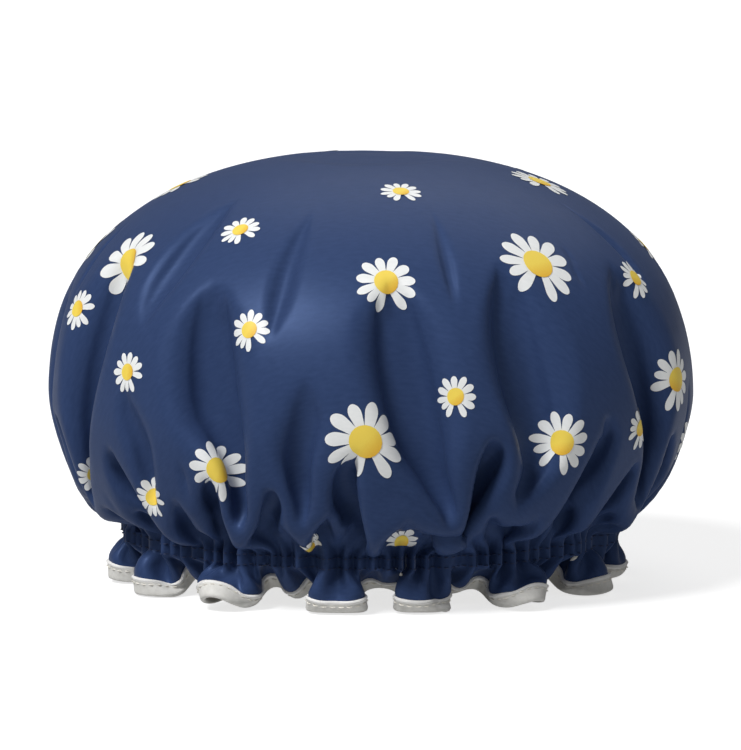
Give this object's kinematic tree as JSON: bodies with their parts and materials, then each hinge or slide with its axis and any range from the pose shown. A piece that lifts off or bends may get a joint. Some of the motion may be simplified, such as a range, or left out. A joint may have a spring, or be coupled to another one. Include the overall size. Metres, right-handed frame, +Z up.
{
  "type": "shower cap",
  "caption": "Puffed, pleated shower cap of daisy-print cloth over a waterproof lining, gathered by an elastic in a casing above a ruffled frill with a bound hem; the crown presses flat.",
  "frame": {"origin": "on the surface the cap stands on, under the middle of its hem", "axes": "+Z up through the top of the crown, -Y towards the viewer of the front, +X to that viewer's right"},
  "size_m": [0.229, 0.229, 0.1525],
  "materials": {
    "printed_cloth": "navy satin weave with a printed scatter of white daisies with yellow centres",
    "lining_film": "soft off-white waterproof film",
    "binding_tape": "plain-woven cream bias tape, folded over the edge",
    "casing_tape": "plain-woven off-white tape",
    "elastic": "white braided elastic",
    "navy_thread": "spun sewing thread",
    "cream_thread": "spun sewing thread"
  },
  "bodies": {
    "hem": {"crown_side": "printed_cloth", "frill": "printed_cloth", "lining_side": "lining_film", "lining_frill": "lining_film", "hem_binding": "binding_tape", "elastic_band": "elastic", "elastic_casing": "casing_tape", "casing_thread_upper": "navy_thread", "casing_thread_lower": "navy_thread", "binding_thread": "cream_thread"},
    "crown": {"crown_top": "printed_cloth", "lining_top": "lining_film"}
  },
  "joints": [
    {"name": "crown_collapse", "type": "slide", "parent": "hem", "child": "crown", "axis": [0, 0, -1], "range_m": [0, 0.1]}
  ]
}
